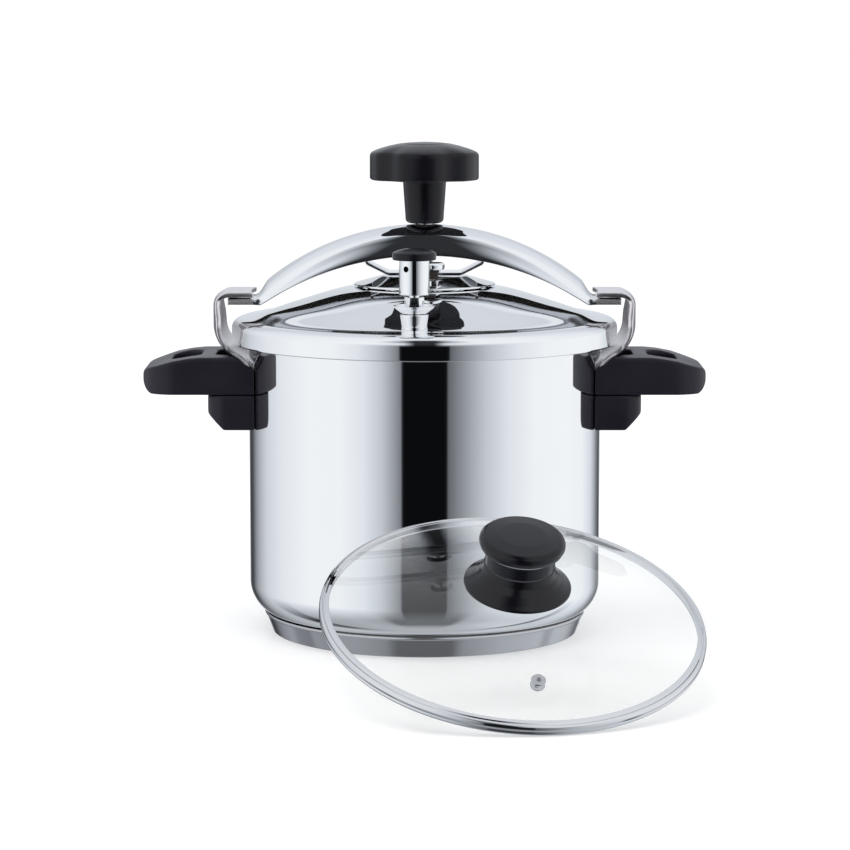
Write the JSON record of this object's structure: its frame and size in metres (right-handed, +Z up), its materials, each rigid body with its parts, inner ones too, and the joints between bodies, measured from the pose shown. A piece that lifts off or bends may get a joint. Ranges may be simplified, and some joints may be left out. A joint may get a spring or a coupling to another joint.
{
  "type": "stovetop pressure cooker",
  "caption": "Stainless steel stovetop pressure cooker closed by a screw-down crossbar under side hooks, with a weight valve, loop handles and a glass lid leaning in front.",
  "frame": {"origin": "centre of the flat underside of the base, on the worktop", "axes": "+X towards the right-hand handle, +Y away from the regulator valve and the leaning glass lid, +Z up along the spindle"},
  "size_m": [0.385, 0.4744, 0.337],
  "materials": {
    "mirror_steel": "mirror polished stainless steel",
    "satin_steel": "satin stainless steel",
    "base_aluminium": "plain rolled aluminium",
    "brass": "turned brass",
    "black_phenolic": "satin moulded phenolic",
    "pale_silicone": "matt silicone",
    "red_silicone": "matt silicone",
    "clear_glass": "clear tempered glass"
  },
  "bodies": {
    "pot": {"pot_body": "mirror_steel", "base_core": "base_aluminium", "base_cap": "satin_steel", "hook_right": "mirror_steel", "hook_left": "mirror_steel", "hook_rivet_1_right": "satin_steel", "hook_rivet_1_left": "satin_steel", "hook_rivet_2_right": "satin_steel", "hook_rivet_2_left": "satin_steel", "hook_rivet_3_right": "satin_steel", "hook_rivet_3_left": "satin_steel", "handle_grip_right": "black_phenolic", "handle_grip_left": "black_phenolic", "handle_heel_right": "black_phenolic", "handle_heel_left": "black_phenolic", "handle_bracket_right": "satin_steel", "handle_bracket_left": "satin_steel", "handle_bolt_right": "satin_steel", "handle_bolt_left": "satin_steel", "handle_washer_right": "satin_steel", "handle_washer_left": "satin_steel", "handle_insert_right": "brass", "handle_insert_left": "brass"},
    "bridge": {"crossbar": "mirror_steel", "spindle_bush": "brass"},
    "lid": {"lid_shell": "mirror_steel", "gasket": "pale_silicone", "pressure_plate": "mirror_steel", "saddle": "mirror_steel", "pressure_foot": "mirror_steel", "valve_collar": "mirror_steel", "valve_cup": "mirror_steel", "valve_nipple": "brass", "valve_nut": "brass", "safety_base": "mirror_steel", "safety_seal": "red_silicone", "safety_nut": "brass", "safety_spring": "satin_steel"},
    "closing_knob": {"spindle": "satin_steel", "knob": "black_phenolic", "knob_insert": "brass", "knob_screw": "satin_steel", "knob_cap": "black_phenolic"},
    "needle": {"regulator_needle": "brass"},
    "weight": {"regulator_weight": "mirror_steel", "regulator_cap": "black_phenolic"},
    "plunger": {"safety_plunger": "mirror_steel"},
    "glass_lid": {"glass_dome": "clear_glass", "glass_rim": "satin_steel", "vent_eyelet": "mirror_steel", "glass_knob_base": "black_phenolic", "glass_knob_top": "black_phenolic", "glass_washer": "pale_silicone", "glass_screw": "satin_steel"}
  },
  "joints": [
    {"name": "bridge_swing", "type": "hinge", "parent": "pot", "child": "bridge", "pos_m": [0, 0, 0.2], "axis": [0, 0, 1], "range_deg": [-45, 45]},
    {"name": "lid_lift", "type": "slide", "parent": "bridge", "child": "lid", "axis": [0, 0, 1], "range_m": [0, 0.0075]},
    {"name": "knob_turn", "type": "hinge", "parent": "lid", "child": "closing_knob", "pos_m": [0, 0, 0.3], "axis": [0, 0, 1], "range_deg": [0, 1082]},
    {"name": "regulator_lift", "type": "slide", "parent": "lid", "child": "needle", "axis": [0, 0, 1], "range_m": [0, 0.004]},
    {"name": "regulator_spin", "type": "hinge", "parent": "needle", "child": "weight", "pos_m": [-0.0067, -0.106, 0.25], "axis": [0, 0, 1], "continuous": true},
    {"name": "safety_pop", "type": "slide", "parent": "lid", "child": "plunger", "axis": [0, 0, 1], "range_m": [0, 0.003], "stiffness_N_per_m": 1500, "springref_m": -0.003, "deforming": ["safety_spring"]},
    {"name": "glass_lid_lift", "type": "slide", "parent": "pot", "child": "glass_lid", "axis": [0.1663, -0.6873, 0.7071], "range_m": [0, 0.15]}
  ],
  "couplings": [
    {"joint": "knob_turn", "follows": "lid_lift", "rad_per_m": 2513.3}
  ]
}
